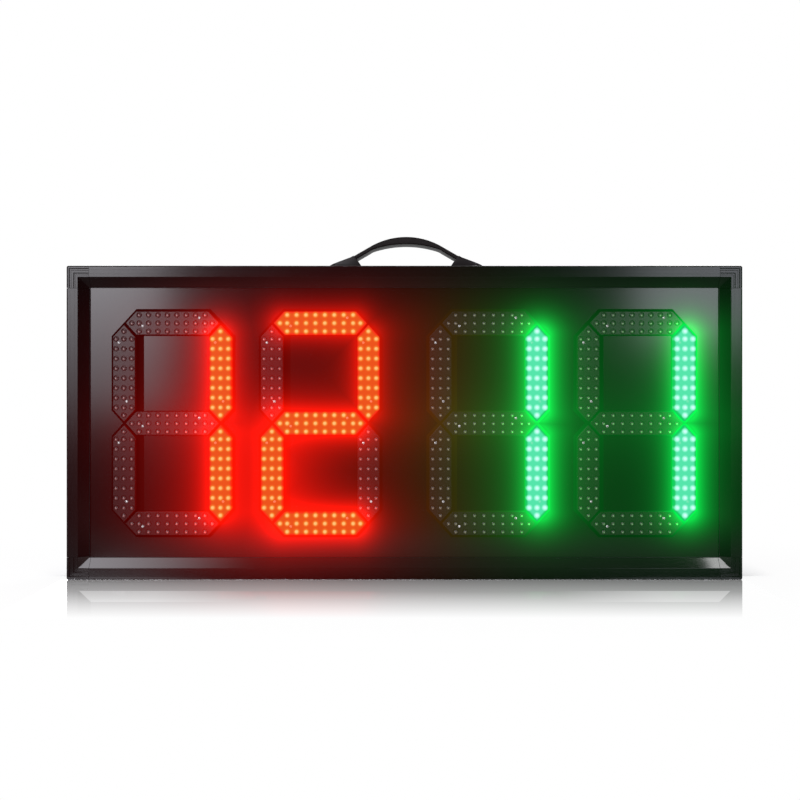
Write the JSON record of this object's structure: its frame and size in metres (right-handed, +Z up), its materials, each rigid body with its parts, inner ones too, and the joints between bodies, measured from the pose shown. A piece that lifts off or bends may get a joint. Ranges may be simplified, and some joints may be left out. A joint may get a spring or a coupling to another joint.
{
  "type": "electronic scoreboard",
  "caption": "Portable LED substitution and score board: framed display with seven-segment digits and a carrying strap on top.",
  "frame": {"origin": "middle of the bottom face that the board stands on", "axes": "+X to the right as the display is read, +Y from the display to the rear cover, +Z up"},
  "size_m": [0.62, 0.05, 0.3159],
  "materials": {
    "black_aluminium": "satin black anodised extrusion",
    "black_moulding": "fine textured black moulding",
    "panel_black": "semi-gloss black sheet",
    "tray_black": "black lamp tray with clear lamp lenses, unlit",
    "tray_lit_red": "lamp tray with red lamps lit",
    "tray_lit_green": "lamp tray with green lamps lit",
    "circuit_board": "green solder mask",
    "cover_black": "powder coated sheet",
    "key_rubber": "matt silicone rubber",
    "rocker_red": "glossy red rocker",
    "battery_sleeve": "blue shrink sleeve",
    "zinc_steel": "zinc plated steel strip",
    "strap_rubber": "moulded black rubber strap"
  },
  "bodies": {
    "case": {"frame_rail_bottom": "black_aluminium", "frame_rail_right": "black_aluminium", "frame_rail_top": "black_aluminium", "frame_rail_left": "black_aluminium", "corner_block_bottom_left": "black_moulding", "corner_block_bottom_right": "black_moulding", "corner_block_top_right": "black_moulding", "corner_block_top_left": "black_moulding", "front_panel": "panel_black", "digit_1_segment_a": "tray_black", "digit_1_segment_b": "tray_lit_red", "digit_1_segment_c": "tray_lit_red", "digit_1_segment_d": "tray_black", "digit_1_segment_e": "tray_black", "digit_1_segment_f": "tray_black", "digit_1_segment_g": "tray_black", "digit_2_segment_a": "tray_lit_red", "digit_2_segment_b": "tray_lit_red", "digit_2_segment_c": "tray_black", "digit_2_segment_d": "tray_lit_red", "digit_2_segment_e": "tray_lit_red", "digit_2_segment_f": "tray_black", "digit_2_segment_g": "tray_lit_red", "digit_3_segment_a": "tray_black", "digit_3_segment_b": "tray_lit_green", "digit_3_segment_c": "tray_lit_green", "digit_3_segment_d": "tray_black", "digit_3_segment_e": "tray_black", "digit_3_segment_f": "tray_black", "digit_3_segment_g": "tray_black", "digit_4_segment_a": "tray_black", "digit_4_segment_b": "tray_lit_green", "digit_4_segment_c": "tray_lit_green", "digit_4_segment_d": "tray_black", "digit_4_segment_e": "tray_black", "digit_4_segment_f": "tray_black", "digit_4_segment_g": "tray_black", "driver_board_1": "circuit_board", "driver_board_2": "circuit_board", "driver_board_3": "circuit_board", "driver_board_4": "circuit_board", "rear_cover": "cover_black", "keypad_bezel": "black_moulding", "power_switch_housing": "black_moulding", "charge_socket": "black_moulding", "control_board": "circuit_board", "battery_pack": "battery_sleeve", "battery_strap_left": "zinc_steel", "battery_strap_right": "zinc_steel", "handle_strap": "strap_rubber", "handle_cap_right": "black_moulding", "handle_cap_left": "black_moulding"},
    "rocker": {"power_rocker": "rocker_red"},
    "key_1": {"digit_key_1": "key_rubber"},
    "key_2": {"digit_key_2": "key_rubber"},
    "key_3": {"digit_key_3": "key_rubber"},
    "key_4": {"digit_key_4": "key_rubber"}
  },
  "joints": [
    {"name": "power_rocker_tip", "type": "hinge", "parent": "case", "child": "rocker", "pos_m": [0.084, 0.02, 0.214], "axis": [-1, 0, 0], "range_deg": [0, 20]},
    {"name": "digit_key_1_press", "type": "slide", "parent": "case", "child": "key_1", "axis": [0, -1, 0], "range_m": [0, 0.0012], "stiffness_N_per_m": 500, "springref_m": -0.001},
    {"name": "digit_key_2_press", "type": "slide", "parent": "case", "child": "key_2", "axis": [0, -1, 0], "range_m": [0, 0.0012], "stiffness_N_per_m": 500, "springref_m": -0.001},
    {"name": "digit_key_3_press", "type": "slide", "parent": "case", "child": "key_3", "axis": [0, -1, 0], "range_m": [0, 0.0012], "stiffness_N_per_m": 500, "springref_m": -0.001},
    {"name": "digit_key_4_press", "type": "slide", "parent": "case", "child": "key_4", "axis": [0, -1, 0], "range_m": [0, 0.0012], "stiffness_N_per_m": 500, "springref_m": -0.001}
  ]
}
